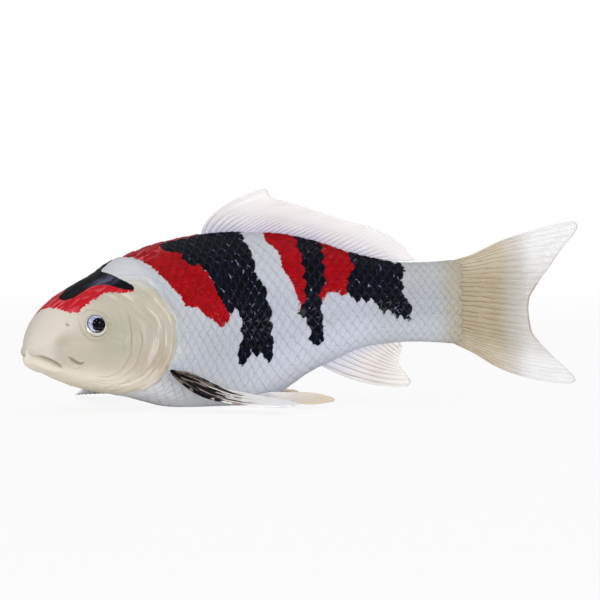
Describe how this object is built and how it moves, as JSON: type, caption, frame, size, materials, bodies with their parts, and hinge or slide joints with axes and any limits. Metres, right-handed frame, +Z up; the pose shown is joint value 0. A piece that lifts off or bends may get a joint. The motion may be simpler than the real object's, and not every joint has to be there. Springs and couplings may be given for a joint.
{
  "type": "koi figurine",
  "caption": "Patterned koi carp figurine with a bent swimming body, rayed fins and set-in eyes, resting on its belly.",
  "frame": {"origin": "middle of the flat patch under the belly, on the surface that the figurine rests on", "axes": "+X from the snout towards the tail along the long axis, +Y to the fish's right side, +Z up"},
  "size_m": [0.1984, 0.116, 0.0719],
  "materials": {
    "painted_skin": "painted and clear-coated",
    "dorsal_fin": "washed and clear-coated",
    "tail_fin": "washed and clear-coated",
    "anal_fin": "washed and clear-coated",
    "pectoral_fins": "streaked and clear-coated",
    "pelvic_fins": "washed and clear-coated",
    "eye_silver": "silver paint under clear gloss",
    "pupil_black": "high gloss"
  },
  "bodies": {
    "root": {"body_left": "painted_skin", "body_right": "painted_skin", "dorsal_fin": "dorsal_fin", "tail_fin": "tail_fin", "anal_fin": "anal_fin", "pectoral_fin_left": "pectoral_fins", "pectoral_fin_right": "pectoral_fins", "pelvic_fin_left": "pelvic_fins", "pelvic_fin_right": "pelvic_fins", "eye_left": "eye_silver", "eye_right": "eye_silver", "pupil_left": "pupil_black", "pupil_right": "pupil_black"}
  },
  "joints": []
}
